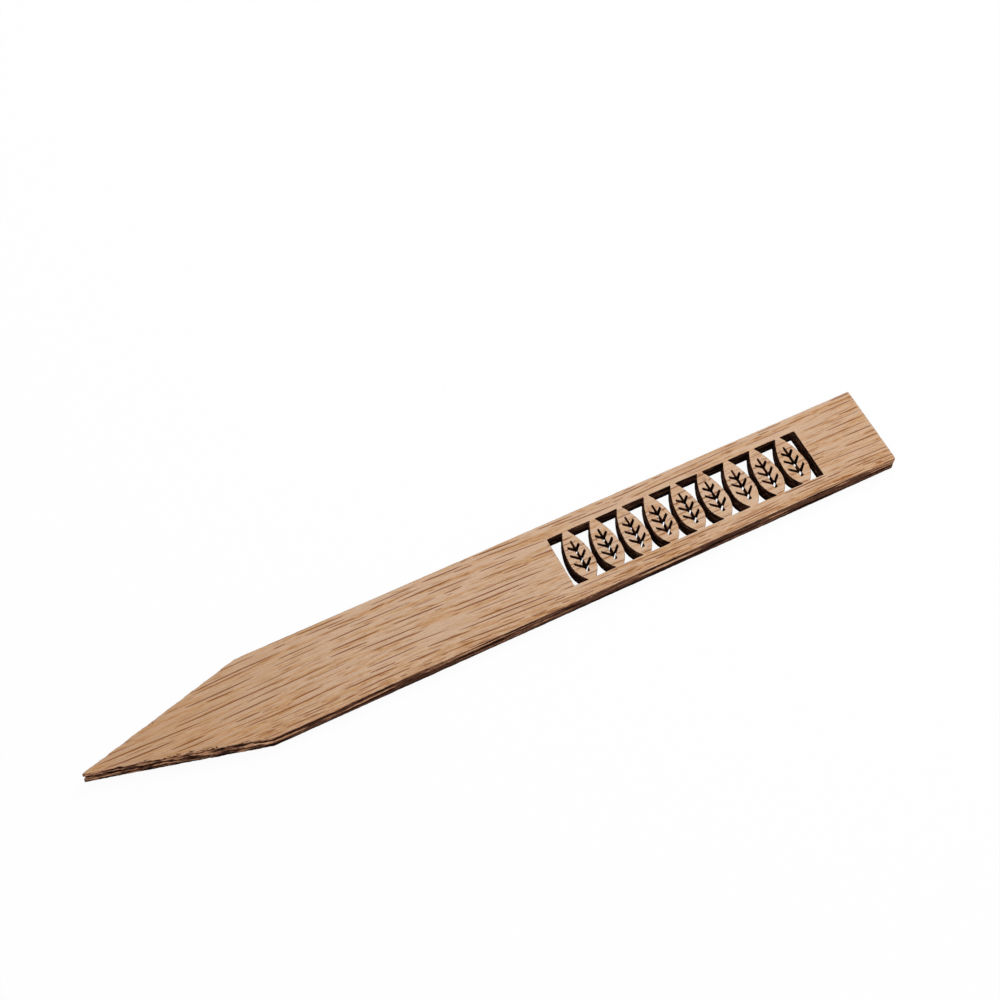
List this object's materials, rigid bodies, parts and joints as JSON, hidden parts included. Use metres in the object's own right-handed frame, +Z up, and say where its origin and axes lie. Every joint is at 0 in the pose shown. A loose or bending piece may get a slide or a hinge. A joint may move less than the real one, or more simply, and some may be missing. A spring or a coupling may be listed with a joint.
{
  "type": "plant label stake",
  "caption": "Flat pointed stake of laminated oak for marking a potted plant, with a pierced window of standing leaf shapes near its square end.",
  "frame": {"origin": "middle of the stake's length and width, on its back face, which it lies on", "axes": "+X along the length from the point to the square end, +Y across the width towards the leaves' tips, +Z up through the plies, out of the front face"},
  "size_m": [0.19, 0.02, 0.004],
  "materials": {
    "oak_face": "raw straight-grained oak, sanded, with dark cut edges",
    "oak_core": "oak, browned where it was cut",
    "glue": "cured wood glue, darkened where it was cut"
  },
  "bodies": {
    "root": {"front_ply": "oak_face", "front_glue_film": "glue", "core_ply": "oak_core", "back_glue_film": "glue", "back_ply": "oak_face"}
  },
  "joints": []
}
